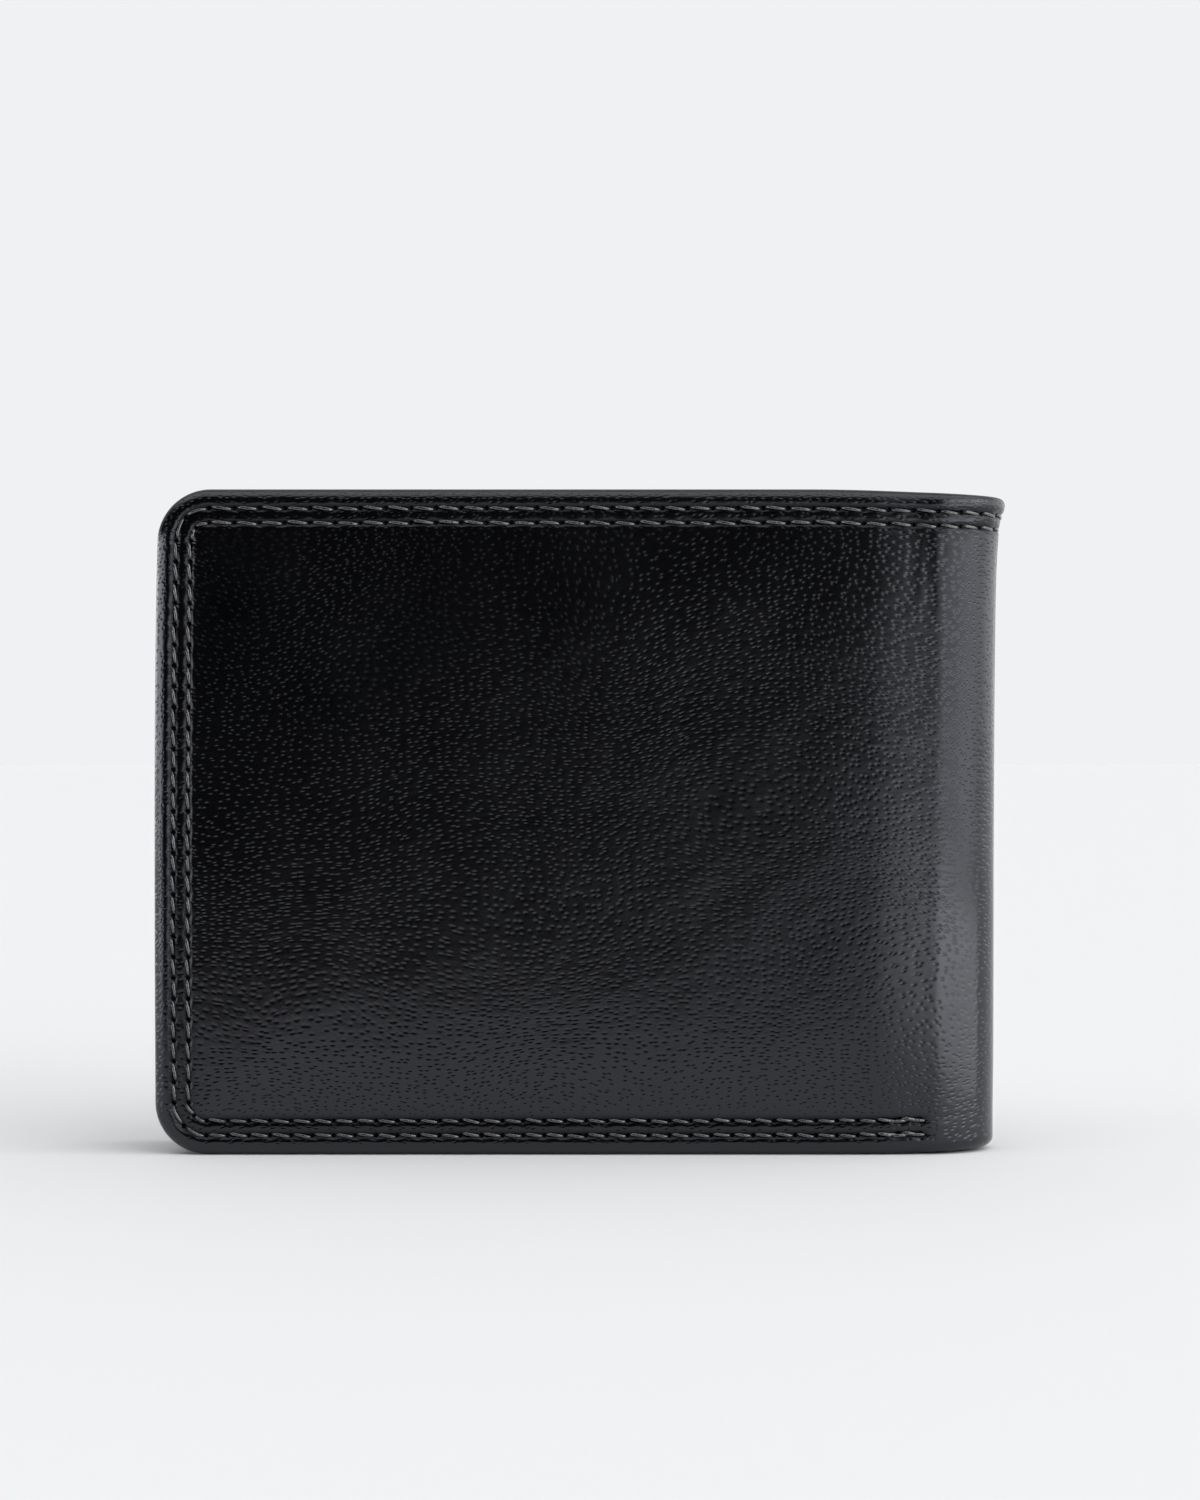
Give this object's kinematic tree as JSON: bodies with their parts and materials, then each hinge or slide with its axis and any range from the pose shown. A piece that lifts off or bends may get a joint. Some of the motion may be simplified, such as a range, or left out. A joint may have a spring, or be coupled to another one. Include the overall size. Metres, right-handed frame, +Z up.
{
  "type": "bifold wallet",
  "caption": "Bifold wallet of black leather with double-stitched edges, a note compartment, stepped card pockets and a clear card window, folding at its spine.",
  "frame": {"origin": "middle of the long edge that the closed wallet stands on", "axes": "+X from the open edge to the fold, +Y from the front cover to the back cover, +Z up"},
  "size_m": [0.114, 0.018, 0.09],
  "materials": {
    "leather": "semi-gloss, fine grained, black",
    "lining": "twill lining cloth, black",
    "board": "plain fibre board",
    "thread": "waxed polyester thread, black",
    "clear_film": "clear vinyl"
  },
  "bodies": {
    "back_half": {"back_cover_leather": "leather", "back_cover_board": "board", "back_cover_lining": "lining", "back_cover_outer_stitching": "thread", "back_cover_inner_stitching": "thread", "back_edge_tape": "lining", "back_note_wall": "lining", "back_card_panel": "leather", "back_card_pocket_1": "leather", "back_card_pocket_2": "leather", "window_film": "clear_film", "window_frame": "leather", "back_panel_stitching": "thread"},
    "spine_back": {"spine_back_leather": "leather", "spine_back_lining": "lining", "spine_back_band": "leather", "spine_back_outer_stitching": "thread", "spine_back_inner_stitching": "thread"},
    "spine_middle": {"spine_middle_leather": "leather", "spine_middle_lining": "lining", "spine_middle_band": "leather", "spine_middle_outer_stitching": "thread", "spine_middle_inner_stitching": "thread"},
    "spine_front": {"spine_front_leather": "leather", "spine_front_lining": "lining", "spine_front_band": "leather", "spine_front_outer_stitching": "thread", "spine_front_inner_stitching": "thread"},
    "front_half": {"front_cover_leather": "leather", "front_cover_board": "board", "front_cover_lining": "lining", "front_cover_outer_stitching": "thread", "front_cover_inner_stitching": "thread", "front_edge_tape": "lining", "front_note_wall": "lining", "front_card_panel": "leather", "front_card_pocket_1": "leather", "front_card_pocket_2": "leather", "front_card_pocket_3": "leather", "front_card_pocket_4": "leather", "front_panel_stitching": "thread"}
  },
  "joints": [
    {"name": "back_fold", "type": "hinge", "parent": "back_half", "child": "spine_back", "pos_m": [0.05153, 0.00853, 0.045], "axis": [0, 0, 1], "range_deg": [0, 45]},
    {"name": "back_spine_fold", "type": "hinge", "parent": "spine_back", "child": "spine_middle", "pos_m": [0.05653, 0.00353, 0.045], "axis": [0, 0, 1], "range_deg": [0, 45]},
    {"name": "front_spine_fold", "type": "hinge", "parent": "spine_middle", "child": "spine_front", "pos_m": [0.05653, -0.00353, 0.045], "axis": [0, 0, 1], "range_deg": [0, 45]},
    {"name": "front_fold", "type": "hinge", "parent": "spine_front", "child": "front_half", "pos_m": [0.05153, -0.00853, 0.045], "axis": [0, 0, 1], "range_deg": [0, 45]}
  ],
  "couplings": [
    {"joint": "back_spine_fold", "follows": "back_fold", "ratio": 1},
    {"joint": "front_spine_fold", "follows": "back_fold", "ratio": 1},
    {"joint": "front_fold", "follows": "back_fold", "ratio": 1}
  ]
}
